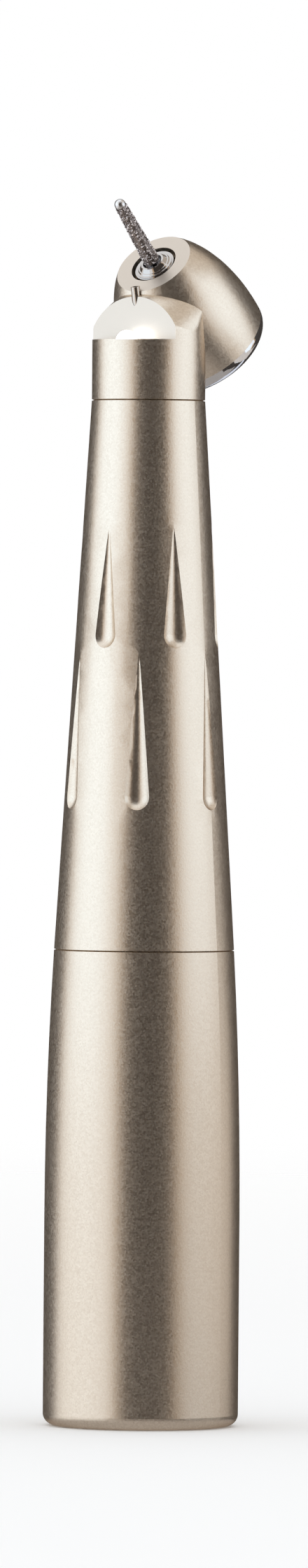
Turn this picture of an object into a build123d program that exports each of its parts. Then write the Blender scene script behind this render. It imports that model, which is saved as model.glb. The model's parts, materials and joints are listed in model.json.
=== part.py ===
"""High speed dental handpiece with a 45 degree head, modelled piece by piece.

Frame: +Z runs up the handle from the tail to the head, the origin is the centre of
the tail's end face, and the bur leans towards -Y. Millimetres throughout.
"""

import os
from math import asin, atan2, cos, degrees, radians, sin, sqrt

from build123d import *

os.makedirs("parts", exist_ok=True)

# ---------------------------------------------------------------- driving dimensions

# Handle, from the tail upwards.
sleeve_joint_z = 38.7
neck_joint_z = 83.4
tail_radius = 7.95
straight_height = 17.0
sleeve_joint_radius = 7.33
neck_radius = 4.61
tail_edge_radius = 0.97
sleeve_wall = 1.15
sleeve_step_drop = 0.3
sleeve_cone_drop = 0.9
joint_line_depth = 0.2
joint_line_rise = 0.06

# Rear sleeve and the coupling socket inside it.
rear_bore_radius = 6.3
tail_lip_radius = 5.6
tail_lip_height = 1.2
socket_radius = 5.0
socket_depth = 12.0
socket_chamfer = 0.4
inner_socket_radius = 3.8
inner_socket_depth = 9.8
socket_floor = 2.2
retention_groove_width = 1.0
retention_groove_depth = 0.45
retention_groove_inset = 1.5
socket_nut_height = 3.0
socket_nut_radius = 4.6
nut_slot_width = 1.4
nut_slot_depth = 1.1

# Threaded ring that joins the two sleeves.
joint_ring_length = 10.0
joint_ring_wall = 0.95
joint_o_ring_section = 0.48
joint_o_ring_rise = 2.8
o_ring_play = 0.02
o_ring_side_play = 0.08

# Neck spigot and the bores that carry the lines.
spigot_length = 6.0
spigot_radius = 3.3
spigot_bore_radius = 2.5
spigot_bore_inset = 0.2
spigot_o_ring_section = 0.35
spigot_o_ring_drop = 1.4
line_bore_radius = 1.85
line_bore_y = -0.15
line_bore_top = 87.4
manifold_height = 1.2
drive_tube_radius = 0.7
drive_tube_wall = 0.16
drive_tube_place = (0.9, 0.45)
jet_length = 1.8
small_tube_radius = 0.4
small_tube_wall = 0.12
water_tube_place = (-0.95, -0.55)
chip_tube_place = (-0.75, 0.7)
exhaust_radius = 0.35
exhaust_place = (0, 1.1)
small_port_radius = 0.22
small_tube_seat = 0.7

# Glass light guide and the window on the ledge.
guide_radius = 0.7
guide_handle_y = -1.7
window_radius = 0.9
window_height = 0.7
window_dome = 0.75
window_y = -3.05

# Top of the neck: ledge, flat face behind it and arched shoulder.
ledge_z = 88.3
flat_face_y = -2.03
arch_radius = 4.7
arch_top_z = 91.8
shoulder_rise = 0.58
shoulder_round = 0.6

# Head, a turned body on an axis tilted forwards. Depths are measured from its face.
head_tilt = 45.0
face_z = 94.5
face_y = 0.55
face_radius = 3.25
head_radius = 5.75
head_depth = 8.5
flare_length = 10.2
face_opening_radius = 1.96
face_wall = 1.0
chamber_radius = 4.2
chamber_lead = 0.22
cap_bore_length = 2.15
cap_skirt_radius = 4.5
relief_run_out = 4.5
spray_tilt = 12.0
spray_radius = 0.38
spray_bore_radius = 0.23
spray_tip_y = -1.95
spray_tip_z = 92.6
spray_length = 5.9

# Back cap and push button.
cap_depth = 1.55
cap_edge_depth = 1.3
cap_edge_width = 1.5
button_radius = 3.7
button_flange_radius = 4.05
button_flange_height = 0.27
button_height = 0.8
button_dome = 0.25
button_travel = 0.45
button_boss_radius = 0.9
button_recess_depth = 0.3
button_recess_radius = 3.3
cap_lip = 0.3
cap_web = 0.22
cap_web_bore_radius = 1.5
spring_wire_radius = 0.09
spring_inner_radius = 1.7
spring_outer_radius = 3.0
spring_turns = 2.5

# Ball bearings, 3.175 x 6.35 x 2.38.
bearing_bore_radius = 1.5875
bearing_outer_radius = 3.175
bearing_width = 2.38
ball_radius = 0.5
ball_count = 7
ball_play = 0.03
race_gap = 0.57
cage_thickness = 0.4
cage_width = 1.5
bearing_o_ring_section = 0.58
cage_pocket_play = 0.04
bearing_groove_width = 0.8
front_bearing_depth = 1.3
washer_space = 0.09

# Rotor.
nose_radius = 1.7
nose_step_radius = 1.56
nose_ledge_radius = 1.4
nose_ring_radius = 1.32
nose_cone_radius = 1.22
nose_tip_radius = 0.98
nose_rim_depth = 0.16
nose_step_height = 0.1
nose_tip_out = 0.3
spindle_end_inset = 0.18
chuck_bore_radius = 1.15
chuck_front_depth = 0.9
collet_end_inset = 1.6
collet_slot_width = 0.18
collet_slot_length = 3.6
collet_slots = 3
collet_chamfer = 0.4
impeller_radius = 3.95
impeller_hub_radius = 2.35
impeller_spacer_radius = 1.98
impeller_side_gap = 0.31
blade_count = 10
blade_thickness = 0.34
blade_sweep = 1.25
blade_hollow = 0.15
release_pin_length = 1.39
release_pin_out = 0.24
release_cone_length = 0.7
release_cone_radius = 0.5
release_gap = 0.1

# Bur.
shank_radius = 0.8
shank_end_inset = 0.7
shank_chamfer = 0.15
bur_neck_radius = 0.55
bur_neck_depth = 0.3
bur_base_out = 0.33
bur_base_radius = 0.65
bur_tip_radius = 0.46
bur_length_out = 7.1

# Clearances.
slip = 0.05
seat = 0.02
running = 0.02
cap_relief = 0.12

# How far cutters reach past the surfaces that they open.
overrun = 1.0

# Grip flutes, one front flute in the upper row.
flute_count = 6
flute_ball_radius = 1.375
flute_depth = 0.5
flute_tip_lift = 0.03
upper_flute_low_z = 63.3
upper_flute_tip_z = 73.7
lower_flute_low_z = 50.2
lower_flute_tip_z = 63.6

# ---------------------------------------------------------------- derived places


def profile_plane(origin, along):
    """Plane for a turned profile: x is the radius, y runs along the turning axis."""
    return Plane(origin=origin, x_dir=(1, 0, 0), z_dir=Vector(1, 0, 0).cross(along))


def sleeve_radius_at(z):
    """Outer radius of the conical front sleeve at height z."""
    share = (z - sleeve_joint_z) / (neck_joint_z - sleeve_joint_z)
    return sleeve_joint_radius + share * (neck_radius - sleeve_joint_radius)


head_back = Vector(0, sin(radians(head_tilt)), -cos(radians(head_tilt)))
face_centre = Vector(0, face_y, face_z)
head_profile = profile_plane(face_centre, head_back)
head_axis = Axis(face_centre, head_back)


def head_section(depth):
    """Plane square to the head's axis at a depth behind its face, z pointing back."""
    return Plane(
        origin=face_centre + head_back * depth, x_dir=(1, 0, 0), z_dir=head_back
    )


flare_ratio = sqrt(1 - (head_depth / flare_length) ** 2)
flare_width = (head_radius - face_radius) / (1 - flare_ratio)
flare_centre = head_radius - flare_width
flare_start = degrees(asin(head_depth / flare_length))

spray_aim = Vector(0, -sin(radians(spray_tilt)), cos(radians(spray_tilt)))
spray_section = Plane(
    origin=(0, spray_tip_y, spray_tip_z), x_dir=(1, 0, 0), z_dir=spray_aim
)

cap_end_depth = head_depth + cap_depth
lip_depth = cap_end_depth - cap_lip
flange_top_depth = lip_depth - seat
flange_bottom_depth = flange_top_depth - button_flange_height
web_top_depth = flange_bottom_depth - button_travel - seat
web_bottom_depth = web_top_depth - cap_web
button_back_depth = flange_bottom_depth + button_height
cap_bore_depth = head_depth - cap_bore_length
skirt_front_depth = cap_bore_depth + slip
cap_bore_radius = cap_skirt_radius + slip
bearing_seat_radius = bearing_outer_radius + slip
bearing_groove_radius = bearing_outer_radius + bearing_o_ring_section + seat

rear_bearing_depth = web_bottom_depth - washer_space - bearing_width
spindle_end_depth = rear_bearing_depth + bearing_width - spindle_end_inset
release_pin_end_depth = spindle_end_depth + release_pin_out
release_pin_head_depth = release_pin_end_depth - release_pin_length
boss_depth = release_pin_end_depth + release_gap
collet_end_depth = spindle_end_depth - collet_end_inset
shank_end_depth = collet_end_depth - shank_end_inset
spacer_front = front_bearing_depth + bearing_width
chamber_depth = spacer_front + chamber_lead
impeller_front = spacer_front + impeller_side_gap
impeller_width = rear_bearing_depth - impeller_side_gap - impeller_front

pitch_radius = (bearing_bore_radius + bearing_outer_radius) / 2
inner_land_radius = pitch_radius - race_gap / 2
outer_land_radius = pitch_radius + race_gap / 2

socket_mouth_z = tail_lip_height
socket_step_z = socket_mouth_z + socket_depth
socket_floor_z = socket_step_z + inner_socket_depth
socket_top_z = socket_floor_z + socket_floor
spigot_low_z = neck_joint_z - spigot_length
spigot_bore_top = neck_joint_z - spigot_bore_inset
manifold_low_z = line_bore_top - manifold_height
window_low_z = ledge_z - window_height
joint_ring_low_z = sleeve_joint_z - joint_ring_length / 2
joint_ring_radius = rear_bore_radius - slip

# ---------------------------------------------------------------- light guide route

guide_step = guide_handle_y - window_y
guide_run = window_low_z - spigot_bore_top - seat
guide_turn = 2 * atan2(guide_step, guide_run)


def guide_bar(radius, low_z):
    """Round bar that runs up the handle, then bends forwards to the ledge."""
    bend_start = (guide_handle_y, spigot_bore_top)
    bend_middle = (guide_handle_y - guide_step / 2, spigot_bore_top + guide_run / 2)
    bend_end = (window_y, spigot_bore_top + guide_run)
    leaning = (-sin(guide_turn), cos(guide_turn))
    with BuildPart() as bar:
        with BuildLine(Plane.YZ):
            Line((guide_handle_y, low_z), bend_start)
            TangentArc(bend_start, bend_middle, tangent=(0, 1))
            TangentArc(bend_middle, bend_end, tangent=leaning)
        with BuildSketch(Plane.XY.offset(low_z)):
            with Locations((0, guide_handle_y)):
                Circle(radius)
        sweep()
    return bar.part


def turn_about(axis, plane, points, mode):
    """Turn a closed (radius, distance) profile about an axis."""
    with BuildSketch(plane) as profile:
        with BuildLine():
            Polyline(*points, close=True)
        make_face()
    revolve(profile.sketch, axis=axis, mode=mode)


def turn_head(points, mode=Mode.ADD):
    """Turn a profile of (radius, depth behind the face) about the head's axis."""
    turn_about(head_axis, head_profile, points, mode)


def turn_handle(points, mode=Mode.ADD):
    """Turn a profile of (radius, height) about the handle's axis."""
    turn_about(Axis.Z, Plane.XZ, points, mode)


# ---------------------------------------------------------------- head and neck shell

front_groove_depth = front_bearing_depth + (bearing_width - bearing_groove_width) / 2
spigot_groove_z = neck_joint_z - spigot_o_ring_drop
sleeve_top_bore = spigot_radius + slip
spigot_groove_radius = sleeve_top_bore - spigot_o_ring_section - o_ring_play

with BuildPart() as head_housing:
    # Neck column under an arched shoulder that climbs towards the head.
    with BuildSketch(Plane.XY.offset(neck_joint_z)):
        Circle(neck_radius)
    extrude(amount=face_z - neck_joint_z)
    arch_front = -neck_radius - overrun
    arch_centre_z = arch_top_z - arch_radius + shoulder_rise * (arch_front - flat_face_y)
    with BuildSketch(Plane.XZ.offset(-arch_front)):
        with Locations((0, arch_centre_z)):
            Circle(arch_radius)
        with Locations((0, arch_centre_z - 2 * arch_radius)):
            Rectangle(2 * arch_radius, 4 * arch_radius)
    extrude(amount=3 * neck_radius, dir=(0, 1, shoulder_rise), mode=Mode.INTERSECT)
    shoulder_edges = head_housing.edges().filter_by_position(
        Axis.Z, ledge_z, face_z, inclusive=(False, False)
    )
    fillet(shoulder_edges, shoulder_round)
    # Ledge in front of the flat face.
    with BuildSketch(Plane.XY.offset(ledge_z)):
        with Locations((0, flat_face_y)):
            Rectangle(3 * neck_radius, 2 * neck_radius, align=(Align.CENTER, Align.MAX))
    extrude(amount=face_z - ledge_z, mode=Mode.SUBTRACT)
    # Turned head, flared on an ellipse from the face to the cap joint.
    with BuildSketch(head_profile):
        with BuildLine():
            Line((0, head_depth), (0, 0))
            Line((0, 0), (face_radius, 0))
            EllipticalCenterArc(
                (flare_centre, head_depth),
                flare_width,
                flare_length,
                -flare_start,
                arc_size=flare_start,
            )
            Line((head_radius, head_depth), (0, head_depth))
        make_face()
    revolve(axis=head_axis)
    # Relief in the back of the neck, so that the cap screws off once the sleeve is off.
    with BuildSketch(head_section(head_depth)):
        Circle(head_radius + cap_relief)
    extrude(amount=relief_run_out, mode=Mode.SUBTRACT)
    # Steep bevel, which draws a fine line where the neck meets the sleeve.
    turn_handle(
        [
            (neck_radius - joint_line_depth, neck_joint_z),
            (neck_radius + overrun, neck_joint_z),
            (neck_radius + overrun, neck_joint_z + joint_line_rise),
            (neck_radius, neck_joint_z + joint_line_rise),
        ],
        Mode.SUBTRACT,
    )
    # Spigot that enters the front sleeve, with its O-ring groove.
    with BuildSketch(Plane.XY.offset(spigot_low_z)):
        Circle(spigot_radius)
    extrude(amount=spigot_length)
    turn_handle(
        [
            (spigot_groove_radius, spigot_groove_z),
            (neck_radius, spigot_groove_z),
            (neck_radius, spigot_groove_z - spigot_o_ring_section - o_ring_side_play),
            (spigot_groove_radius, spigot_groove_z - spigot_o_ring_section - o_ring_side_play),
        ],
        Mode.SUBTRACT,
    )
    # Bore for the air and water lines, the air jet and the exhaust port.
    with BuildSketch(Plane.XY.offset(spigot_low_z)):
        Circle(spigot_bore_radius)
    extrude(amount=spigot_bore_top - spigot_low_z, mode=Mode.SUBTRACT)
    with BuildSketch(Plane.XY.offset(spigot_bore_top)):
        with Locations((0, line_bore_y)):
            Circle(line_bore_radius)
    extrude(amount=line_bore_top - spigot_bore_top, mode=Mode.SUBTRACT)
    with BuildSketch(Plane.XY.offset(line_bore_top)):
        with Locations(drive_tube_place):
            Circle(drive_tube_radius - drive_tube_wall)
        with Locations(exhaust_place):
            Circle(exhaust_radius)
    extrude(amount=jet_length, mode=Mode.SUBTRACT)
    # Turned inside of the head: face opening, bearing seat, chamber and cap bore.
    turn_head(
        [
            (0, -overrun),
            (face_opening_radius, -overrun),
            (face_opening_radius, face_wall),
            (bearing_seat_radius, face_wall),
            (bearing_seat_radius, front_groove_depth),
            (bearing_groove_radius, front_groove_depth),
            (bearing_groove_radius, front_groove_depth + bearing_groove_width),
            (bearing_seat_radius, front_groove_depth + bearing_groove_width),
            (bearing_seat_radius, chamber_depth),
            (chamber_radius, chamber_depth),
            (chamber_radius, cap_bore_depth),
            (cap_bore_radius, cap_bore_depth),
            (cap_bore_radius, head_depth + overrun),
            (0, head_depth + overrun),
        ],
        Mode.SUBTRACT,
    )
    # Channels for the light guide, its window and the spray tube.
    add(guide_bar(guide_radius + seat, spigot_low_z), mode=Mode.SUBTRACT)
    with BuildSketch(Plane.XY.offset(window_low_z)):
        with Locations((0, window_y)):
            Circle(window_radius + seat)
    extrude(amount=window_height + overrun, mode=Mode.SUBTRACT)
    with BuildSketch(spray_section):
        Circle(spray_radius + seat)
    extrude(amount=-spray_length, mode=Mode.SUBTRACT)

head_housing.part.label = "head_housing"
export_step(head_housing.part, "parts/head_housing.step")

with BuildPart() as spray_nozzle:
    with BuildSketch(spray_section):
        Circle(spray_radius)
        Circle(spray_bore_radius, mode=Mode.SUBTRACT)
    extrude(amount=-spray_length)

spray_nozzle.part.label = "spray_nozzle"
export_step(spray_nozzle.part, "parts/spray_nozzle.step")

with BuildPart() as light_window:
    with BuildSketch(Plane.XZ.offset(-window_y)):
        with BuildLine():
            Polyline(
                (0, ledge_z + window_dome),
                (0, window_low_z),
                (window_radius, window_low_z),
                (window_radius, ledge_z),
            )
            TangentArc(
                (0, ledge_z + window_dome), (window_radius, ledge_z), tangent=(1, 0)
            )
        make_face()
    revolve(axis=Axis((0, window_y, 0), (0, 0, 1)))

light_window.part.label = "light_window"
export_step(light_window.part, "parts/light_window.step")

with BuildPart() as light_guide:
    add(guide_bar(guide_radius, socket_floor_z))

light_guide.part.label = "light_guide"
export_step(light_guide.part, "parts/light_guide.step")

# ---------------------------------------------------------------- ball bearings


def ball_bearing(name, depth):
    """Miniature ball bearing whose front face lies at a depth behind the head's face."""
    back = depth + bearing_width
    middle = head_section(depth + bearing_width / 2)

    with BuildPart() as outer_race:
        turn_head(
            [
                (outer_land_radius, depth),
                (bearing_outer_radius, depth),
                (bearing_outer_radius, back),
                (outer_land_radius, back),
            ]
        )
        with Locations(middle):
            Torus(pitch_radius, ball_radius + ball_play, mode=Mode.SUBTRACT)
    outer_race.part.label = f"{name}_outer_race"
    export_step(outer_race.part, f"parts/{name}_outer_race.step")

    with BuildPart() as inner_race:
        turn_head(
            [
                (bearing_bore_radius, depth),
                (inner_land_radius, depth),
                (inner_land_radius, back),
                (bearing_bore_radius, back),
            ]
        )
        with Locations(middle):
            Torus(pitch_radius, ball_radius + ball_play, mode=Mode.SUBTRACT)
    inner_race.part.label = f"{name}_inner_race"
    export_step(inner_race.part, f"parts/{name}_inner_race.step")

    with BuildPart() as balls:
        with Locations(middle):
            with PolarLocations(pitch_radius, ball_count):
                Sphere(ball_radius)
    balls.part.label = f"{name}_balls"
    export_step(balls.part, f"parts/{name}_balls.step")

    with BuildPart() as cage:
        with BuildSketch(head_section(depth + (bearing_width - cage_width) / 2)):
            Circle(pitch_radius + cage_thickness / 2)
            Circle(pitch_radius - cage_thickness / 2, mode=Mode.SUBTRACT)
        extrude(amount=cage_width)
        with Locations(middle):
            with PolarLocations(pitch_radius, ball_count):
                Cylinder(
                    ball_radius + cage_pocket_play,
                    2 * ball_radius,
                    rotation=(0, 90, 0),
                    mode=Mode.SUBTRACT,
                )
    cage.part.label = f"{name}_cage"
    export_step(cage.part, f"parts/{name}_cage.step")

    with BuildPart() as o_ring:
        with Locations(middle):
            Torus(
                bearing_outer_radius + bearing_o_ring_section / 2,
                (bearing_o_ring_section - o_ring_play) / 2,
            )
    o_ring.part.label = f"{name}_o_ring"
    export_step(o_ring.part, f"parts/{name}_o_ring.step")


ball_bearing("front_bearing", front_bearing_depth)
ball_bearing("rear_bearing", rear_bearing_depth)

# ---------------------------------------------------------------- rotor

spindle_radius = bearing_bore_radius - seat / 2

with BuildPart() as spindle:
    turn_head(
        [
            (shank_radius + running, -nose_tip_out),
            (nose_tip_radius, -nose_tip_out),
            (nose_cone_radius, nose_rim_depth - 2 * nose_step_height),
            (nose_ring_radius, nose_rim_depth - 2 * nose_step_height),
            (nose_ledge_radius, nose_rim_depth - nose_step_height),
            (nose_step_radius, nose_rim_depth - nose_step_height),
            (nose_step_radius, nose_rim_depth),
            (nose_radius, nose_rim_depth),
            (nose_radius, front_bearing_depth),
            (spindle_radius, front_bearing_depth),
            (spindle_radius, spindle_end_depth),
            (chuck_bore_radius, spindle_end_depth),
            (chuck_bore_radius, chuck_front_depth),
            (shank_radius + running, chuck_front_depth),
        ]
    )

spindle.part.label = "spindle"
export_step(spindle.part, "parts/spindle.step")

collet_radius = chuck_bore_radius - seat
collet_mouth_radius = (collet_radius + shank_radius) / 2

with BuildPart() as chuck_collet:
    turn_head(
        [
            (shank_radius + running, chuck_front_depth),
            (collet_radius, chuck_front_depth),
            (collet_radius, collet_end_depth),
            (collet_mouth_radius, collet_end_depth),
            (shank_radius + running, collet_end_depth - collet_chamfer),
        ]
    )
    with BuildSketch(head_section(collet_end_depth - collet_slot_length)):
        with PolarLocations(0, collet_slots):
            Rectangle(2 * collet_radius, collet_slot_width, align=(Align.MIN, Align.CENTER))
    extrude(amount=collet_slot_length, mode=Mode.SUBTRACT)

chuck_collet.part.label = "chuck_collet"
export_step(chuck_collet.part, "parts/chuck_collet.step")

with BuildPart() as chuck_release_pin:
    turn_head(
        [
            (0, release_pin_head_depth - release_cone_length),
            (release_cone_radius, release_pin_head_depth - release_cone_length),
            (shank_radius - seat, release_pin_head_depth),
            (chuck_bore_radius - slip, release_pin_head_depth),
            (chuck_bore_radius - slip, release_pin_end_depth),
            (0, release_pin_end_depth),
        ]
    )

chuck_release_pin.part.label = "chuck_release_pin"
export_step(chuck_release_pin.part, "parts/chuck_release_pin.step")

with BuildSketch() as blade:
    with BuildLine():
        ThreePointArc(
            (impeller_spacer_radius, 0),
            ((impeller_spacer_radius + impeller_radius) / 2, -blade_hollow),
            (impeller_radius, blade_sweep),
        )
    trace(line_width=blade_thickness)

with BuildPart() as impeller:
    turn_head(
        [
            (bearing_bore_radius, spacer_front),
            (impeller_spacer_radius, spacer_front),
            (impeller_spacer_radius, rear_bearing_depth),
            (bearing_bore_radius, rear_bearing_depth),
        ]
    )
    with BuildSketch(head_section(impeller_front)):
        Circle(impeller_hub_radius)
        with PolarLocations(0, blade_count):
            add(blade.sketch)
        Circle(impeller_radius, mode=Mode.INTERSECT)
        Circle(bearing_bore_radius, mode=Mode.SUBTRACT)
    extrude(amount=impeller_width)

impeller.part.label = "impeller"
export_step(impeller.part, "parts/impeller.step")

# ---------------------------------------------------------------- bur

with BuildPart() as bur_shank:
    turn_head(
        [
            (0, -bur_base_out),
            (bur_neck_radius, -bur_base_out),
            (bur_neck_radius, 0),
            (shank_radius, bur_neck_depth),
            (shank_radius, shank_end_depth - shank_chamfer),
            (shank_radius - shank_chamfer, shank_end_depth),
            (0, shank_end_depth),
        ]
    )

bur_shank.part.label = "bur_shank"
export_step(bur_shank.part, "parts/bur_shank.step")

with BuildPart() as bur_diamond_head:
    with BuildSketch(head_profile):
        with BuildLine():
            Polyline(
                (0, -bur_length_out),
                (0, -bur_base_out),
                (bur_neck_radius, -bur_base_out),
                (bur_base_radius, bur_neck_radius - bur_base_radius - bur_base_out),
                (bur_tip_radius, bur_tip_radius - bur_length_out),
            )
            RadiusArc(
                (bur_tip_radius, bur_tip_radius - bur_length_out),
                (0, -bur_length_out),
                bur_tip_radius,
            )
        make_face()
    revolve(axis=head_axis)

bur_diamond_head.part.label = "bur_diamond_head"
export_step(bur_diamond_head.part, "parts/bur_diamond_head.step")

# ---------------------------------------------------------------- cap and push button

rear_groove_depth = rear_bearing_depth + (bearing_width - bearing_groove_width) / 2
cap_mouth_radius = button_radius + slip
cap_pocket_radius = button_flange_radius + slip
cap_edge_start = cap_end_depth - cap_edge_depth

with BuildPart() as back_cap:
    with BuildSketch(head_profile):
        with BuildLine():
            Polyline(
                (head_radius, cap_edge_start),
                (head_radius, head_depth),
                (cap_skirt_radius, head_depth),
                (cap_skirt_radius, skirt_front_depth),
                (bearing_seat_radius, skirt_front_depth),
                (bearing_seat_radius, rear_groove_depth),
                (bearing_groove_radius, rear_groove_depth),
                (bearing_groove_radius, rear_groove_depth + bearing_groove_width),
                (bearing_seat_radius, rear_groove_depth + bearing_groove_width),
                (bearing_seat_radius, web_bottom_depth),
                (cap_web_bore_radius, web_bottom_depth),
                (cap_web_bore_radius, web_top_depth),
                (cap_pocket_radius, web_top_depth),
                (cap_pocket_radius, lip_depth),
                (cap_mouth_radius, lip_depth),
                (cap_mouth_radius, cap_end_depth),
                (head_radius - cap_edge_width, cap_end_depth),
            )
            EllipticalCenterArc(
                (head_radius - cap_edge_width, cap_edge_start),
                cap_edge_width,
                cap_edge_depth,
                0,
                arc_size=90,
            )
        make_face()
    revolve(axis=head_axis)

back_cap.part.label = "back_cap"
export_step(back_cap.part, "parts/back_cap.step")

with BuildPart() as bearing_washer:
    turn_head(
        [
            (outer_land_radius, rear_bearing_depth + bearing_width),
            (bearing_outer_radius, rear_bearing_depth + bearing_width),
            (bearing_outer_radius, web_bottom_depth),
            (outer_land_radius, web_bottom_depth),
        ]
    )

bearing_washer.part.label = "bearing_washer"
export_step(bearing_washer.part, "parts/bearing_washer.step")

button_recess_top = flange_bottom_depth + button_recess_depth
button_crown_depth = button_back_depth - button_dome

with BuildPart() as push_button:
    with BuildSketch(head_profile):
        with BuildLine():
            Polyline(
                (0, button_back_depth),
                (0, boss_depth),
                (button_boss_radius, boss_depth),
                (button_boss_radius, button_recess_top),
                (button_recess_radius, button_recess_top),
                (button_recess_radius, flange_bottom_depth),
                (button_flange_radius, flange_bottom_depth),
                (button_flange_radius, flange_top_depth),
                (button_radius, flange_top_depth),
                (button_radius, button_crown_depth),
            )
            TangentArc(
                (0, button_back_depth), (button_radius, button_crown_depth), tangent=(1, 0)
            )
        make_face()
    revolve(axis=head_axis)

push_button.part.label = "push_button"
export_step(push_button.part, "parts/push_button.step")

spring_low_depth = web_top_depth + spring_wire_radius + seat
spring_height = button_recess_top - web_top_depth - 2 * (spring_wire_radius + seat)
spring_cone = degrees(atan2(spring_outer_radius - spring_inner_radius, spring_height))

with BuildPart() as button_spring:
    with BuildLine():
        coil = Helix(
            pitch=spring_height / spring_turns,
            height=spring_height,
            radius=spring_inner_radius,
            center=face_centre + head_back * spring_low_depth,
            direction=head_back,
            cone_angle=spring_cone,
        )
    with BuildSketch(Plane(origin=coil @ 0, z_dir=coil % 0)):
        Circle(spring_wire_radius)
    sweep(is_frenet=True)

button_spring.part.label = "button_spring"
export_step(button_spring.part, "parts/button_spring.step")

# ---------------------------------------------------------------- lines in the handle


def line_tube(name, radius, wall, place, top_z):
    """Straight thin-walled tube from the socket floor to the neck manifold."""
    with BuildPart() as tube:
        with BuildSketch(Plane.XY.offset(socket_floor_z)):
            with Locations(place):
                Circle(radius)
                Circle(radius - wall, mode=Mode.SUBTRACT)
        extrude(amount=top_z - socket_floor_z)
    tube.part.label = name
    export_step(tube.part, f"parts/{name}.step")


small_tube_top = manifold_low_z + small_tube_seat
line_tube("drive_air_tube", drive_tube_radius, drive_tube_wall, drive_tube_place, line_bore_top)
line_tube("water_tube", small_tube_radius, small_tube_wall, water_tube_place, small_tube_top)
line_tube("chip_air_tube", small_tube_radius, small_tube_wall, chip_tube_place, small_tube_top)

with BuildPart() as neck_manifold:
    with BuildSketch(Plane.XY.offset(manifold_low_z)):
        with Locations((0, line_bore_y)):
            Circle(line_bore_radius - seat)
        with Locations(drive_tube_place):
            Circle(drive_tube_radius + seat, mode=Mode.SUBTRACT)
        with Locations(water_tube_place, chip_tube_place):
            Circle(small_port_radius, mode=Mode.SUBTRACT)
        with Locations(exhaust_place):
            Circle(exhaust_radius, mode=Mode.SUBTRACT)
    extrude(amount=manifold_height)
    with BuildSketch(Plane.XY.offset(manifold_low_z)):
        with Locations(water_tube_place, chip_tube_place):
            Circle(small_tube_radius + seat)
    extrude(amount=small_tube_seat, mode=Mode.SUBTRACT)
    with BuildSketch(spray_section):
        Circle(spray_radius + seat)
    extrude(amount=-spray_length, mode=Mode.SUBTRACT)
    add(guide_bar(guide_radius + seat, spigot_low_z), mode=Mode.SUBTRACT)

neck_manifold.part.label = "neck_manifold"
export_step(neck_manifold.part, "parts/neck_manifold.step")

with BuildPart() as neck_o_ring:
    groove_middle = spigot_groove_z - (spigot_o_ring_section + o_ring_side_play) / 2
    with Locations((0, 0, groove_middle)):
        Torus(
            sleeve_top_bore - spigot_o_ring_section / 2,
            (spigot_o_ring_section - o_ring_play) / 2,
        )

neck_o_ring.part.label = "neck_o_ring"
export_step(neck_o_ring.part, "parts/neck_o_ring.step")

# ---------------------------------------------------------------- front sleeve


def grip_flute(low_z, tip_z):
    """Teardrop cutter on the front of the sleeve, round below and pointed above."""
    reach = flute_ball_radius - flute_depth
    ball_z = low_z + sqrt(flute_ball_radius**2 - reach**2)
    ball_centre = Vector(0, -(sleeve_radius_at(ball_z) + reach), ball_z)
    tip = Vector(0, -(sleeve_radius_at(tip_z) + flute_tip_lift), tip_z)
    along = tip - ball_centre
    leaving = asin(flute_ball_radius / along.length)
    with BuildPart() as flute:
        with BuildSketch(profile_plane(ball_centre, along.normalized())):
            with BuildLine():
                ball = CenterArc((0, 0), flute_ball_radius, -90, 90 + degrees(leaving))
                Polyline(ball @ 1, (0, along.length), ball @ 0)
            make_face()
        revolve(axis=Axis(ball_centre, along))
    return flute.part


joint_bore_top_z = sleeve_joint_z + joint_ring_length / 2 + slip
inner_cone_top_z = spigot_low_z - sleeve_cone_drop
inner_step_z = spigot_low_z - sleeve_step_drop

with BuildPart() as front_sleeve:
    turn_handle(
        [
            (rear_bore_radius, sleeve_joint_z),
            (sleeve_joint_radius - joint_line_depth, sleeve_joint_z),
            (sleeve_radius_at(sleeve_joint_z + joint_line_rise), sleeve_joint_z + joint_line_rise),
            (sleeve_radius_at(neck_joint_z - joint_line_rise), neck_joint_z - joint_line_rise),
            (neck_radius - joint_line_depth, neck_joint_z),
            (sleeve_top_bore, neck_joint_z),
            (sleeve_top_bore, inner_step_z),
            (sleeve_radius_at(inner_cone_top_z) - sleeve_wall, inner_cone_top_z),
            (sleeve_radius_at(joint_bore_top_z) - sleeve_wall, joint_bore_top_z),
            (rear_bore_radius, joint_bore_top_z),
        ]
    )
    with PolarLocations(0, flute_count):
        add(grip_flute(upper_flute_low_z, upper_flute_tip_z), mode=Mode.SUBTRACT)
    with PolarLocations(0, flute_count, start_angle=180 / flute_count):
        add(grip_flute(lower_flute_low_z, lower_flute_tip_z), mode=Mode.SUBTRACT)

front_sleeve.part.label = "front_sleeve"
export_step(front_sleeve.part, "parts/front_sleeve.step")

# ---------------------------------------------------------------- joint ring

joint_groove_z = sleeve_joint_z + joint_o_ring_rise
joint_groove_radius = rear_bore_radius - joint_o_ring_section - o_ring_play

with BuildPart() as joint_ring:
    with BuildSketch(Plane.XY.offset(joint_ring_low_z)):
        Circle(joint_ring_radius)
        Circle(joint_ring_radius - joint_ring_wall, mode=Mode.SUBTRACT)
    extrude(amount=joint_ring_length)
    turn_handle(
        [
            (joint_groove_radius, joint_groove_z),
            (joint_ring_radius + overrun, joint_groove_z),
            (joint_ring_radius + overrun, joint_groove_z - joint_o_ring_section - o_ring_side_play),
            (joint_groove_radius, joint_groove_z - joint_o_ring_section - o_ring_side_play),
        ],
        Mode.SUBTRACT,
    )

joint_ring.part.label = "joint_ring"
export_step(joint_ring.part, "parts/joint_ring.step")

with BuildPart() as joint_o_ring:
    ring_middle = joint_groove_z - (joint_o_ring_section + o_ring_side_play) / 2
    with Locations((0, 0, ring_middle)):
        Torus(
            rear_bore_radius - joint_o_ring_section / 2,
            (joint_o_ring_section - o_ring_play) / 2,
        )

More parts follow.
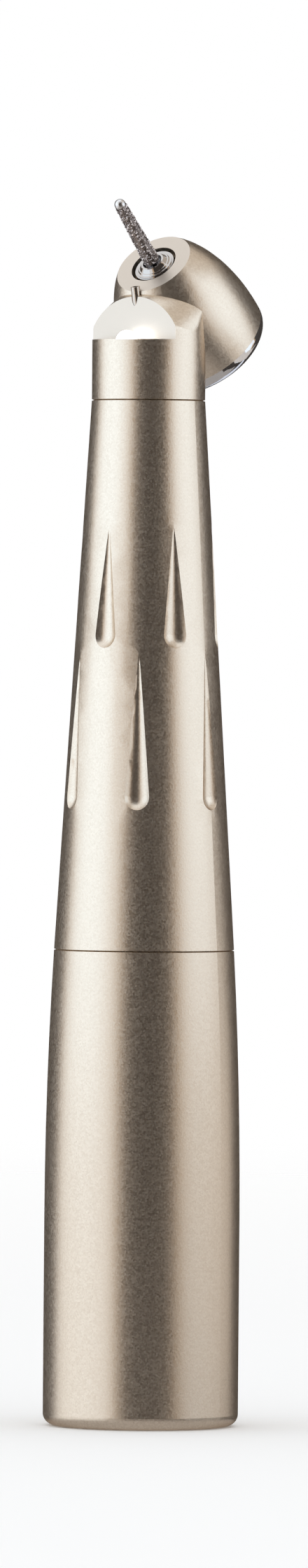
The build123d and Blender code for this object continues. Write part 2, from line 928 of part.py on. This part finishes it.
joint_o_ring.part.label = "joint_o_ring"
export_step(joint_o_ring.part, "parts/joint_o_ring.step")

# ---------------------------------------------------------------- rear sleeve

with BuildPart() as rear_sleeve:
    with BuildSketch(Plane.XZ):
        with BuildLine():
            Polyline(
                (sleeve_joint_radius - joint_line_depth, sleeve_joint_z),
                (rear_bore_radius, sleeve_joint_z),
                (rear_bore_radius, tail_lip_height),
                (tail_lip_radius, tail_lip_height),
                (tail_lip_radius, 0),
                (tail_radius - tail_edge_radius, 0),
            )
            CenterArc(
                (tail_radius - tail_edge_radius, tail_edge_radius), tail_edge_radius, -90, 90
            )
            Line((tail_radius, tail_edge_radius), (tail_radius, straight_height))
            swell = TangentArc(
                (tail_radius, straight_height),
                (sleeve_joint_radius, sleeve_joint_z - joint_line_rise),
                tangent=(0, 1),
            )
            Line(swell @ 1, (sleeve_joint_radius - joint_line_depth, sleeve_joint_z))
        make_face()
    revolve(axis=Axis.Z)

rear_sleeve.part.label = "rear_sleeve"
export_step(rear_sleeve.part, "parts/rear_sleeve.step")

# ---------------------------------------------------------------- coupling socket

socket_outer_radius = rear_bore_radius - slip
groove_top_z = socket_floor_z - retention_groove_inset

with BuildPart() as coupling_socket:
    turn_handle(
        [
            (0, socket_top_z),
            (socket_outer_radius, socket_top_z),
            (socket_outer_radius, socket_mouth_z),
            (socket_radius + socket_chamfer, socket_mouth_z),
            (socket_radius, socket_mouth_z + socket_chamfer),
            (socket_radius, socket_step_z),
            (inner_socket_radius, socket_step_z),
            (inner_socket_radius, groove_top_z - retention_groove_width),
            (inner_socket_radius + retention_groove_depth, groove_top_z - retention_groove_width),
            (inner_socket_radius + retention_groove_depth, groove_top_z),
            (inner_socket_radius, groove_top_z),
            (inner_socket_radius, socket_floor_z),
            (0, socket_floor_z),
        ]
    )
    with BuildSketch(Plane.XY.offset(socket_floor_z)):
        with Locations(drive_tube_place):
            Circle(drive_tube_radius + seat)
        with Locations(water_tube_place, chip_tube_place):
            Circle(small_tube_radius + seat)
        with Locations((0, guide_handle_y)):
            Circle(guide_radius + seat)
    extrude(amount=socket_floor, mode=Mode.SUBTRACT)

coupling_socket.part.label = "coupling_socket"
export_step(coupling_socket.part, "parts/coupling_socket.step")

with BuildPart() as socket_nut:
    with BuildSketch(Plane.XY.offset(socket_top_z)):
        Circle(socket_outer_radius)
        Circle(socket_nut_radius, mode=Mode.SUBTRACT)
    extrude(amount=socket_nut_height)
    with BuildSketch(Plane.XY.offset(socket_top_z + socket_nut_height - nut_slot_depth)):
        Rectangle(3 * socket_outer_radius, nut_slot_width)
    extrude(amount=nut_slot_depth, mode=Mode.SUBTRACT)

socket_nut.part.label = "socket_nut"
export_step(socket_nut.part, "parts/socket_nut.step")
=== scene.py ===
"""High speed dental handpiece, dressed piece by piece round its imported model."""

import json
import random
from math import cos, pi, radians, sin, tan

import bmesh
import bpy
from mathutils import Matrix, Quaternion, Vector


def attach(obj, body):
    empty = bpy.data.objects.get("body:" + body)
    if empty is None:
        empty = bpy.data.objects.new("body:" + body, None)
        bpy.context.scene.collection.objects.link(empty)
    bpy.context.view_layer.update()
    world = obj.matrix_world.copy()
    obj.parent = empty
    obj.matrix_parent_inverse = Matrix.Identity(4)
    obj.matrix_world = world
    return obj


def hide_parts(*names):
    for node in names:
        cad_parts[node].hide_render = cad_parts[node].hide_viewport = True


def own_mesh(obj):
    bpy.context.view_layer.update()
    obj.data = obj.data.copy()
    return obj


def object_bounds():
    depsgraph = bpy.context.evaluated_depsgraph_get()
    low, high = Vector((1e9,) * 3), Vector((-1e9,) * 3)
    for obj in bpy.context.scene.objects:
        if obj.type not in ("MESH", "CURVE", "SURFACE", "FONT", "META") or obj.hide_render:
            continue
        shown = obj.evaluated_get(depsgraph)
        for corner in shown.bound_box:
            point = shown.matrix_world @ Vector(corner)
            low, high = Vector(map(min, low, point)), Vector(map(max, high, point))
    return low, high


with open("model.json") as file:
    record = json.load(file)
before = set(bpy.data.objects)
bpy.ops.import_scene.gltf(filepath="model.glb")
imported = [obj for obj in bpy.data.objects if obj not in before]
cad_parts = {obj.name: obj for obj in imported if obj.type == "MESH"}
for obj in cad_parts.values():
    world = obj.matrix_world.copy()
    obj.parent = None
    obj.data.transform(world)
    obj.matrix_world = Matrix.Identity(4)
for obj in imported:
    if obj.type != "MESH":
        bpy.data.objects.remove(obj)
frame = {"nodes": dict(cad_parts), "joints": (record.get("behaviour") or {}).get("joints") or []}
cad_low, cad_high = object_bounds()

# ---- Camera -----------------------------------------------------------------------
# Long lens level with the grip, to the front right of the handpiece, and turned by
# half a degree about its own sight, so that the handpiece's top leans to the right.

camera_azimuth = radians(36)
camera_pitch = radians(-0.65)
camera_roll = radians(0.47)
camera_distance = 1.064
view_height = 0.1276
aim_height = 0.0522
aim_side = 0.0007

sight = Vector(
    (
        -sin(camera_azimuth) * cos(camera_pitch),
        cos(camera_azimuth) * cos(camera_pitch),
        sin(camera_pitch),
    )
)
side_of_view = Vector((cos(camera_azimuth), sin(camera_azimuth), 0))
aim = side_of_view * aim_side + Vector((0, 0, aim_height))
camera_data = bpy.data.cameras.new("camera")
camera_data.lens = camera_data.sensor_width * camera_distance / view_height
camera_data.clip_start = 0.01
camera = bpy.data.objects.new("camera", camera_data)
camera.location = aim - sight * camera_distance
camera.rotation_mode = "QUATERNION"
camera.rotation_quaternion = sight.to_track_quat("-Z", "Y") @ Quaternion((0, 0, 1), camera_roll)
bpy.context.scene.collection.objects.link(camera)
bpy.context.scene.camera = camera
bpy.context.scene.view_settings.view_transform = "Standard"

# ---- Studio -----------------------------------------------------------------------
# White light tent with a softbox on each side. Cloths round and below the handpiece
# show only in reflections and give the metal its bands. The pale floor, which is clear
# at its rim and from below, takes the shadow.


def new_finish(name, color=(1, 1, 1), **values):
    """Material with one principled shader; a value's name is its socket's."""
    finish = bpy.data.materials.new(name)
    finish.use_nodes = True
    sockets = finish.node_tree.nodes["Principled BSDF"].inputs
    sockets["Base Color"].default_value = (*color, 1)
    for socket, value in values.items():
        sockets[socket.replace("_", " ")].default_value = value
    return finish


world = bpy.data.worlds.new("light_tent")
world.use_nodes = True
world.node_tree.nodes["Background"].inputs["Color"].default_value = (1, 1, 1, 1)
world.node_tree.nodes["Background"].inputs["Strength"].default_value = 1
bpy.context.scene.world = world

studio_middle = Vector((0, 0, 0.055))


def stand(item, azimuth, elevation, distance):
    """Stand a lamp or cloth so that it faces the middle; azimuths go right from the camera."""
    turn = camera_azimuth + radians(azimuth)
    rise = radians(elevation)
    way_out = Vector((sin(turn) * cos(rise), -cos(turn) * cos(rise), sin(rise)))
    facing = way_out.to_track_quat("Z", "Y").to_matrix().to_4x4()
    item.matrix_world = Matrix.Translation(studio_middle + way_out * distance) @ facing
    bpy.context.scene.collection.objects.link(item)


# Each softbox: azimuth and elevation in degrees, width in metres, power in watts.
softboxes = {
    "left_softbox": (-78, 6, 0.46, 0.3),
    "right_softbox": (80, 6, 0.4, 0.15),
}
softbox_color = (0.45, 0.75, 1)
softbox_height = 0.6
softbox_distance = 0.5
for name, (azimuth, elevation, width, power) in softboxes.items():
    softbox_data = bpy.data.lights.new(name, "AREA")
    softbox_data.shape = "RECTANGLE"
    softbox_data.size = width
    softbox_data.size_y = softbox_height
    softbox_data.energy = power
    softbox_data.color = softbox_color
    stand(bpy.data.objects.new(name, softbox_data), azimuth, elevation, softbox_distance)

# Each cloth: azimuth, elevation, and the angles across it and up it as the handpiece
# sees them, all in degrees, then its distance in metres and its colour.
dark_cloth = (0.045, 0.035, 0.028)
warm_cloth = (0.62, 0.44, 0.28)
cloths = {
    "front_cloth": (6, 0, 66, 110, 0.7, dark_cloth),
    "front_fringe": (6, 0, 82, 110, 0.72, warm_cloth),
    "rear_cloth": (177, 0, 128, 100, 0.7, dark_cloth),
    "rear_fringe": (177, 0, 136, 100, 0.72, warm_cloth),
    "high_right_cloth": (100, 56, 60, 36, 0.7, (0.6, 0.52, 0.44)),
    "low_front_cloth": (50, -37, 50, 42, 0.65, dark_cloth),
    "under_cloth": (0, -90, 106, 106, 0.1, (0.38, 0.335, 0.3)),
    "low_right_cloth": (88, -12, 82, 18, 0.2, (0.68, 0.6, 0.53)),
    "right_under_cloth": (72, -47, 84, 48, 0.18, dark_cloth),
    "low_left_cloth": (-78, -42, 76, 69, 0.16, (0.92, 0.89, 0.86)),
    "rear_card": (135, -32, 50, 20, 0.59, (0.75, 0.75, 0.8)),
}
for name, (azimuth, elevation, across, up, distance, color) in cloths.items():
    half_width = distance * tan(radians(across / 2))
    half_height = distance * tan(radians(up / 2))
    stretch = Matrix.Diagonal((half_width, half_height, 1, 1))
    cloth_mesh = bmesh.new()
    bmesh.ops.create_grid(cloth_mesh, x_segments=1, y_segments=1, size=1, matrix=stretch)
    cloth_data = bpy.data.meshes.new(name)
    cloth_mesh.to_mesh(cloth_data)
    cloth_mesh.free()
    cloth_data.materials.append(new_finish(name, color, Roughness=1))
    cloth = bpy.data.objects.new(name, cloth_data)
    cloth.visible_camera = False
    cloth.visible_diffuse = False
    cloth.visible_shadow = False
    stand(cloth, azimuth, elevation, distance)

floor_radius = 0.6
floor_clear_from = 0.2
floor_drop = 0.00005
floor_white = (0.985, 0.985, 0.985)
floor_mesh = bmesh.new()
bmesh.ops.create_circle(floor_mesh, cap_ends=True, radius=floor_radius, segments=96)
bmesh.ops.translate(floor_mesh, verts=floor_mesh.verts, vec=(0, 0, cad_low.z - floor_drop))
floor_data = bpy.data.meshes.new("floor")
floor_mesh.to_mesh(floor_data)
floor_mesh.free()
floor_finish = new_finish("pale_floor", floor_white, Roughness=0.9)
nodes, links = floor_finish.node_tree.nodes, floor_finish.node_tree.links
place = nodes.new("ShaderNodeTexCoord")
from_middle = nodes.new("ShaderNodeVectorMath")
from_middle.operation = "LENGTH"
fade = nodes.new("ShaderNodeMapRange")
fade.inputs["From Min"].default_value = floor_clear_from
fade.inputs["From Max"].default_value = floor_radius
side_seen = nodes.new("ShaderNodeNewGeometry")
clearing = nodes.new("ShaderNodeMath")
clearing.operation = "MAXIMUM"
clear = nodes.new("ShaderNodeBsdfTransparent")
blend = nodes.new("ShaderNodeMixShader")
links.new(place.outputs["Object"], from_middle.inputs[0])
links.new(from_middle.outputs["Value"], fade.inputs["Value"])
links.new(fade.outputs["Result"], clearing.inputs[0])
links.new(side_seen.outputs["Backfacing"], clearing.inputs[1])
links.new(clearing.outputs["Value"], blend.inputs["Fac"])
links.new(nodes["Principled BSDF"].outputs["BSDF"], blend.inputs[1])
links.new(clear.outputs["BSDF"], blend.inputs[2])
links.new(blend.outputs["Shader"], nodes["Material Output"].inputs["Surface"])
floor_data.materials.append(floor_finish)
floor = bpy.data.objects.new("floor", floor_data)
floor.visible_glossy = False
bpy.context.scene.collection.objects.link(floor)

# ---- Handle sleeves and head housing ----------------------------------------------
# Turned shells of titanium-coated brass, blasted with fine glass beads, so that they
# are satin, warm in tint and slightly grainy. The head is cast in one with the neck,
# and its two flat faces are ground.

micron = 0.000001
head_tilt = radians(45)


def noise_on(finish, cells, stretch=(1, 1, 1), tilt=0.0, detail=2.0):
    """Noise in the piece's own space, cells to the metre, on an axis tilted about X."""
    nodes, links = finish.node_tree.nodes, finish.node_tree.links
    place = nodes.new("ShaderNodeTexCoord")
    turn = nodes.new("ShaderNodeMapping")
    turn.vector_type = "TEXTURE"
    turn.inputs["Rotation"].default_value = (tilt, 0, 0)
    turn.inputs["Scale"].default_value = stretch
    noise = nodes.new("ShaderNodeTexNoise")
    noise.inputs["Scale"].default_value = cells
    noise.inputs["Detail"].default_value = detail
    links.new(place.outputs["Object"], turn.inputs["Vector"])
    links.new(turn.outputs["Vector"], noise.inputs["Vector"])
    return noise.outputs["Fac"]


def as_color(value):
    """Colour as it is, or a single value as a grey."""
    return (*value, 1) if isinstance(value, tuple) else (value, value, value, 1)


def vary(finish, pattern, socket, low, high, spread=0.2):
    """Let a pattern move one of the shader's sockets between two values or colours.

    They are reached where the pattern is a spread below and above its middle.
    """
    nodes, links = finish.node_tree.nodes, finish.node_tree.links
    ramp = nodes.new("ShaderNodeValToRGB")
    low_stop, high_stop = ramp.color_ramp.elements
    low_stop.position = 0.5 - spread
    high_stop.position = 0.5 + spread
    low_stop.color = as_color(low)
    high_stop.color = as_color(high)
    links.new(pattern, ramp.inputs["Fac"])
    links.new(ramp.outputs["Color"], nodes["Principled BSDF"].inputs[socket])


def emboss(finish, pattern, microns):
    """Let a pattern raise the surface by a depth in microns."""
    nodes, links = finish.node_tree.nodes, finish.node_tree.links
    bump = nodes.new("ShaderNodeBump")
    bump.inputs["Distance"].default_value = microns * micron
    links.new(pattern, bump.inputs["Height"])
    links.new(bump.outputs["Normal"], nodes["Principled BSDF"].inputs["Normal"])


def measure(finish, output, direction, start, end):
    """Share from 0 to 1 of how far a point or its normal lies along a direction."""
    nodes, links = finish.node_tree.nodes, finish.node_tree.links
    place = nodes.new("ShaderNodeTexCoord")
    along = nodes.new("ShaderNodeVectorMath")
    along.operation = "DOT_PRODUCT"
    along.inputs[1].default_value = direction
    share = nodes.new("ShaderNodeMapRange")
    share.inputs["From Min"].default_value = start
    share.inputs["From Max"].default_value = end
    links.new(place.outputs[output], along.inputs[0])
    links.new(along.outputs["Value"], share.inputs["Value"])
    return share.outputs["Result"]


def both(finish, one_share, other_share):
    """Product of two shares."""
    nodes, links = finish.node_tree.nodes, finish.node_tree.links
    product = nodes.new("ShaderNodeMath")
    product.operation = "MULTIPLY"
    links.new(one_share, product.inputs[0])
    links.new(other_share, product.inputs[1])
    return product.outputs["Value"]


def swap(finish, share, socket, value):
    """Where a share is 1, put one value or colour in a socket in place of its pattern."""
    nodes, links = finish.node_tree.nodes, finish.node_tree.links
    target = nodes["Principled BSDF"].inputs[socket]
    mix = nodes.new("ShaderNodeMix")
    mix.data_type = "RGBA"
    mix.inputs["B"].default_value = as_color(value)
    links.new(share, mix.inputs["Factor"])
    links.new(target.links[0].from_socket, mix.inputs["A"])
    links.new(mix.outputs["Result"], target)


def dress(finish, *names):
    """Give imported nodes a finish."""
    for name in names:
        materials = frame["nodes"][name].data.materials
        materials.clear()
        materials.append(finish)


titanium_sheen = (0.6, 0.5, 0.42, 1)
dark_dent = (0.79, 0.71, 0.61)
pale_dent = (0.95, 0.88, 0.78)
glossy_dent = 0.28
dull_dent = 0.4
dents_to_the_metre = 7200
dent_microns = 3


def blasted(name):
    """Bead-blasted coat: every bead leaves a round dent of its own tone and gloss."""
    coat = new_finish(name, Metallic=1, Specular_Tint=titanium_sheen)
    nodes, links = coat.node_tree.nodes, coat.node_tree.links
    place = nodes.new("ShaderNodeTexCoord")
    dents = nodes.new("ShaderNodeTexVoronoi")
    dents.inputs["Scale"].default_value = dents_to_the_metre
    links.new(place.outputs["Object"], dents.inputs["Vector"])
    vary(coat, dents.outputs["Color"], "Base Color", dark_dent, pale_dent, spread=0.5)
    vary(coat, dents.outputs["Color"], "Roughness", glossy_dent, dull_dent, spread=0.5)
    emboss(coat, dents.outputs["Distance"], dent_microns)
    return coat


dress(blasted("blasted_titanium"), "rear_sleeve", "front_sleeve")

# A surface is ground where it lies square to one of the two faces' directions, by the
# cosine between them. The neck's round front also faces forwards, so it is left out.
ground_color = (0.79, 0.73, 0.66)
ground_roughness = 0.42
neck_front = -0.0025
finish_border = 0.0001
square_from, square_to = 0.9999, 0.99995
flat_face = (0, -1, 0)
head_face = (0, -cos(head_tilt), sin(head_tilt))

head_coat = blasted("blasted_titanium_with_ground_faces")
border_end = neck_front + finish_border
behind_neck_front = measure(head_coat, "Object", (0, 1, 0), neck_front, border_end)
for facing in (flat_face, head_face):
    square_on = measure(head_coat, "Normal", facing, square_from, square_to)
    ground = both(head_coat, square_on, behind_neck_front)
    swap(head_coat, ground, "Base Color", ground_color)
    swap(head_coat, ground, "Roughness", ground_roughness)
dress(head_coat, "head_housing")

# ---- Sleeve joint ring and seals ---------------------------------------------------
# Turned brass ring that screws the two sleeves together, with black nitrile rings in
# grooves at both joints and round the bearings. The neck's plug and the socket's nut
# are turned from the same brass.

# A pattern stretched sideways like this keeps only rings round its axis.
turned = (60, 60, 1)


def tooled(name, color, roughness, lines, stretch, microns, tilt=0.0):
    """Metal whose tool lines, so many to the metre, move its roughness between two values."""
    metal = new_finish(name, color, Metallic=1)
    tool_lines = noise_on(metal, lines, stretch=stretch, tilt=tilt)
    vary(metal, tool_lines, "Roughness", *roughness)
    emboss(metal, tool_lines, microns)
    return metal


brass = tooled(
    "turned_brass",
    (0.72, 0.53, 0.27),
    roughness=(0.18, 0.36),
    lines=16000,
    stretch=turned,
    microns=3,
)
dress(brass, "joint_ring", "neck_manifold", "socket_nut")

nitrile = new_finish("nitrile_rubber", (0.02, 0.02, 0.022))
vary(nitrile, noise_on(nitrile, cells=5000), "Roughness", 0.42, 0.62)
emboss(nitrile, noise_on(nitrile, cells=9000), microns=3)
dress(nitrile, "joint_o_ring", "neck_o_ring", "front_bearing_o_ring", "rear_bearing_o_ring")

# ---- Coupling socket and lines -----------------------------------------------------
# Stainless socket turned on the handle's axis, with drawn steel tubes for drive air,
# chip air and water running up from its floor.

stainless = tooled(
    "turned_stainless",
    (0.66, 0.66, 0.67),
    roughness=(0.16, 0.34),
    lines=18000,
    stretch=turned,
    microns=3,
)
dress(stainless, "coupling_socket")

drawn_steel = tooled(
    "drawn_steel",
    (0.63, 0.63, 0.65),
    roughness=(0.2, 0.38),
    lines=20000,
    stretch=(1, 1, 80),
    microns=2,
)
dress(drawn_steel, "drive_air_tube", "water_tube", "chip_air_tube")

# ---- Light guide and window --------------------------------------------------------
# Fused glass rod up the handle, cemented under a small domed window in the ledge. The
# lamp in the coupling lights it, so the window glows and shines on the metal round it.

fused_glass = new_finish("fused_glass", (0.86, 0.93, 0.97), IOR=1.5, Transmission_Weight=0.85)
vary(fused_glass, noise_on(fused_glass, cells=6000), "Roughness", 0.04, 0.12)
emboss(fused_glass, noise_on(fused_glass, cells=3000), microns=2)
dress(fused_glass, "light_guide")

window_glass = new_finish(
    "window_glass",
    IOR=1.5,
    Transmission_Weight=0.6,
    Emission_Color=(1, 1, 1, 1),
    Emission_Strength=1.8,
)
vary(window_glass, noise_on(window_glass, cells=4000), "Roughness", 0.03, 0.08)
dress(window_glass, "light_window")

# ---- Bearings ----------------------------------------------------------------------
# Ground steel races with black silicon nitride balls in brown phenolic cages, all
# round the head's axis, which leans forwards by 45 degrees.

ground_steel = tooled(
    "ground_steel",
    (0.68, 0.68, 0.69),
    roughness=(0.1, 0.24),
    lines=22000,
    stretch=turned,
    microns=2,
    tilt=head_tilt,
)

ceramic = new_finish("silicon_nitride", Roughness=0.08, Coat_Weight=0.4)
ceramic_tones = noise_on(ceramic, cells=9000)
vary(ceramic, ceramic_tones, "Base Color", (0.02, 0.02, 0.022), (0.06, 0.06, 0.06))

phenolic = new_finish("phenolic_resin", Roughness=0.55)
phenolic_weave = noise_on(phenolic, cells=14000, stretch=(1, 1, 4), tilt=head_tilt, detail=5)
vary(phenolic, phenolic_weave, "Base Color", (0.27, 0.14, 0.05), (0.46, 0.28, 0.12))
emboss(phenolic, phenolic_weave, microns=4)

for bearing in ("front_bearing", "rear_bearing"):
    dress(ground_steel, bearing + "_outer_race", bearing + "_inner_race")
    dress(ceramic, bearing + "_balls")
    dress(phenolic, bearing + "_cage")

# ---- Rotor and chuck ---------------------------------------------------------------
# Hollow polished shaft whose stepped nose shows round the bur, with a milled aluminium
# wheel pressed on it and a slotted spring collet in it, opened by a hardened pin. The
# rear bearing's washer and the button's spring are of the collet's steel.


def polished(name, color, roughness, clouds, detail, lines, microns):
    """Metal turned on the head's axis and polished, so that only haze and faint lines stay."""
    metal = new_finish(name, color, Metallic=1)
    vary(metal, noise_on(metal, clouds, detail=detail), "Roughness", *roughness)
    emboss(metal, noise_on(metal, lines, stretch=turned, tilt=head_tilt), microns)
    return metal


spindle_steel = polished(
    "spindle_steel",
    (0.62, 0.6, 0.59),
    roughness=(0.06, 0.13),
    clouds=2500,
    detail=6,
    lines=16000,
    microns=0.6,
)
dress(spindle_steel, "spindle")

milled = tooled(
    "milled_aluminium",
    (0.76, 0.77, 0.79),
    roughness=(0.2, 0.4),
    lines=12000,
    stretch=(1, 40, 1),
    microns=3,
    tilt=head_tilt,
)
dress(milled, "impeller")

hardened_steel = tooled(
    "hardened_steel",
    (0.5, 0.49, 0.48),
    roughness=(0.14, 0.34),
    lines=15000,
    stretch=turned,
    microns=2,
    tilt=head_tilt,
)
dress(hardened_steel, "chuck_collet", "chuck_release_pin", "bearing_washer", "button_spring")

# ---- Button coil -------------------------------------------------------------------
# Conical coil of spring wire between the cap's web and the button, rebuilt as one
# welded mesh of its own that stays with the handle.

joints = {joint["name"]: joint for joint in frame["joints"]}
spin, press = joints["turbine_spin"], joints["button_press"]
face_centre = Vector(spin["pos_m"])
bur_way = Vector(spin["axis"])

coil_weld = 0.5 * micron
coil_mesh = bmesh.new()
coil_mesh.from_mesh(frame["nodes"]["button_spring"].data)
bmesh.ops.remove_doubles(coil_mesh, verts=coil_mesh.verts, dist=coil_weld)
coil_data = bpy.data.meshes.new("button_coil")
coil_mesh.to_mesh(coil_data)
coil_mesh.free()
coil_data.materials.append(hardened_steel)
coil = bpy.data.objects.new("button_coil", coil_data)
bpy.context.scene.collection.objects.link(coil)
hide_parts("button_spring")
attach(coil, "handle")
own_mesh(coil)

# ---- Bur ---------------------------------------------------------------------------
# Polished steel shank, and a slightly tapered working end whose round tip is bare and
# whose side is bonded all over with coarse diamond grains in nickel.

bur_steel = tooled(
    "bur_steel",
    (0.74, 0.74, 0.76),
    roughness=(0.08, 0.2),
    lines=18000,
    stretch=turned,
    microns=2,
    tilt=head_tilt,
)
dress(bur_steel, "bur_shank")

# Starts and ends are distances from the head's face, along the bur.
bare_tip_start = 0.0065
grit_start = 0.00045
grit_end = 0.0064
grit_base_radius = 0.0006
grit_tip_radius = 0.00042
grain_count = 560
grain_low, grain_high = 0.00008, 0.00013
bare_tip_color = (0.86, 0.87, 0.9)
bare_tip_roughness = 0.25

bond = new_finish("nickel_bond", Metallic=1)
bond_lumps = noise_on(bond, cells=11000, detail=4)
vary(bond, bond_lumps, "Base Color", (0.12, 0.1, 0.1), (0.4, 0.36, 0.35))
vary(bond, bond_lumps, "Roughness", 0.3, 0.44)
emboss(bond, bond_lumps, microns=20)
tip_start = face_centre.dot(bur_way) + bare_tip_start
bare_tip = measure(bond, "Object", bur_way, tip_start, tip_start + finish_border)
swap(bond, bare_tip, "Base Color", bare_tip_color)
swap(bond, bare_tip, "Roughness", bare_tip_roughness)
dress(bond, "bur_diamond_head")

along_bur = Matrix.Translation(face_centre) @ bur_way.to_track_quat("Z", "X").to_matrix().to_4x4()

random.seed(12)
grit_mesh = bmesh.new()
for _ in range(grain_count):
    share = random.random()
    radius = grit_base_radius + share * (grit_tip_radius - grit_base_radius)
    spot = Vector((radius, 0, grit_start + share * (grit_end - grit_start)))
    swing = Matrix.Rotation(random.uniform(0, 2 * pi), 4, "Z")
    tumble_angle = random.uniform(0, pi)
    tumble_axis = Vector((1, random.random(), random.random()))
    tumble = Matrix.Rotation(tumble_angle, 4, tumble_axis)
    bmesh.ops.create_icosphere(
        grit_mesh,
        subdivisions=1,
        radius=random.uniform(grain_low, grain_high),
        matrix=along_bur @ swing @ Matrix.Translation(spot) @ tumble,
    )
grit_data = bpy.data.meshes.new("bur_grit")
grit_mesh.to_mesh(grit_data)
grit_mesh.free()

diamond = new_finish("diamond_grains", Metallic=0.7)
grain_tones = noise_on(diamond, cells=7000)
vary(diamond, grain_tones, "Base Color", (0.14, 0.11, 0.11), (0.95, 0.9, 0.91), spread=0.08)
vary(diamond, noise_on(diamond, cells=12000), "Roughness", 0.2, 0.5)
grit_data.materials.append(diamond)
grit = bpy.data.objects.new("bur_grit", grit_data)
bpy.context.scene.collection.objects.link(grit)
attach(grit, "bur")

# ---- Back cap, button and spray tube -----------------------------------------------
# Mirror-polished chrome ring screwed into the back of the head, the button in it, and
# the thin spray tube that stands out of the flat face.

mirror_chrome = polished(
    "mirror_chrome",
    (0.8, 0.83, 0.88),
    roughness=(0.03, 0.08),
    clouds=1200,
    detail=5,
    lines=14000,
    microns=0.4,
)
dress(mirror_chrome, "back_cap", "push_button")

nozzle_steel = tooled(
    "nozzle_steel",
    (0.7, 0.65, 0.6),
    roughness=(0.12, 0.24),
    lines=15000,
    stretch=(1, 1, 60),
    microns=1,
)
dress(nozzle_steel, "spray_nozzle")
